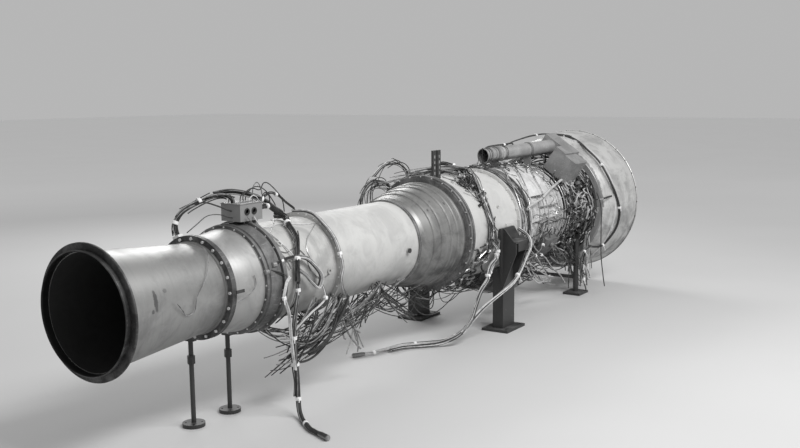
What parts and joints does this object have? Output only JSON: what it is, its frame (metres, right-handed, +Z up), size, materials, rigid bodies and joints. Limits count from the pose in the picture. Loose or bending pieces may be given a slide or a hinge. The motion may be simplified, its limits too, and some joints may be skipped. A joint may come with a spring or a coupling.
{
  "type": "jet engine",
  "caption": "Jet engine on test stands, with a long bolted inlet duct, ribbed bell, spinning rotor, air tube, cable bundles and a flared exhaust shroud",
  "frame": {"origin": "on the floor, under the middle of the length and width of the machine, cords left aside", "axes": "+X runs downstream along the engine axis, +Z is up, -Y is the side with the cable runs"},
  "size_m": [5.78, 1.3862, 1.438],
  "materials": {
    "steel_sheet": "satin rolled sheet, lightly stained",
    "flange_steel": "machined, satin",
    "fastener_steel": "bright plated",
    "engine_duct_sheet": "grey, satin, worn",
    "dark_ring": "blackened, matt",
    "pale_casting": "pale matt casting",
    "blades": "polished",
    "hot_steel": "heat stained",
    "bearing_steel": "ground",
    "pipe_steel": "bright drawn pipe",
    "shroud_sheet": "satin, brushed round the axis",
    "bracket_steel": "satin",
    "air_tube_sheet": "satin tube",
    "folded_sheet": "folded bright sheet",
    "gear_casting": "matt casting, oily",
    "unit_paint": "dark grey paint, satin",
    "lever_steel": "plated",
    "box_paint": "grey paint, satin",
    "cable_sleeve": "dark braided sleeve, matt",
    "pale_cable": "pale rubber sheath",
    "plug_shell": "anodised shell",
    "support_paint": "black paint, matt"
  },
  "bodies": {
    "machine": {"mouth_ring": "steel_sheet", "inlet_cone": "steel_sheet", "joint_1_rings": "flange_steel", "joint_1_bolts": "fastener_steel", "flared_spool": "steel_sheet", "joint_2_ring": "flange_steel", "joint_screws": "fastener_steel", "rake_spool": "steel_sheet", "straight_duct": "steel_sheet", "coupling_ring": "steel_sheet", "ribbed_bell": "steel_sheet", "joint_4_ring": "dark_ring", "engine_duct": "engine_duct_sheet", "front_bolts": "fastener_steel", "front_frame": "flange_steel", "nose_bullet": "flange_steel", "inlet_guide_vanes": "blades", "compressor_case_upper": "pale_casting", "compressor_case_lower": "pale_casting", "case_bolts": "fastener_steel", "stator_rings": "blades", "top_fairing": "pale_casting", "bearing_outer_rings": "bearing_steel", "combustor_case": "hot_steel", "combustion_liner": "hot_steel", "fuel_manifold": "pipe_steel", "ring_pipes": "pipe_steel", "turbine_nozzle": "hot_steel", "turbine_case": "hot_steel", "tail_pipe": "hot_steel", "exhaust_cone": "hot_steel", "shroud_upper": "shroud_sheet", "shroud_lower": "shroud_sheet", "shroud_flare": "shroud_sheet", "shroud_band": "fastener_steel", "shroud_brackets": "bracket_steel", "cooling_air_tube": "air_tube_sheet", "tube_saddles": "bracket_steel", "cooling_air_box": "folded_sheet", "accessory_gearbox": "gear_casting", "starter": "unit_paint", "fuel_pump": "gear_casting", "fuel_control": "gear_casting", "oil_tank": "gear_casting", "ignition_units": "unit_paint", "junction_box_body": "box_paint", "junction_box_lid": "box_paint", "held_harnesses": "cable_sleeve", "harness_clips": "fastener_steel", "front_cable": "cable_sleeve", "floor_cable": "pale_cable", "cable_plugs": "plug_shell", "jack_posts": "support_paint", "pedestals": "support_paint", "rear_trestle": "support_paint"},
    "rotor": {"main_shaft": "bearing_steel", "compressor_rotor": "blades", "turbine_rotor": "hot_steel", "bearing_inner_rings": "bearing_steel"},
    "lever": {"throttle_lever": "lever_steel"}
  },
  "joints": [
    {"name": "rotor_spin", "type": "hinge", "parent": "machine", "child": "rotor", "pos_m": [0.9, 0, 0.78], "axis": [1, 0, 0], "continuous": true},
    {"name": "throttle_swing", "type": "hinge", "parent": "machine", "child": "lever", "pos_m": [1.028, -0.3, 0.289], "axis": [0, 1, 0], "range_deg": [0, 90]}
  ]
}
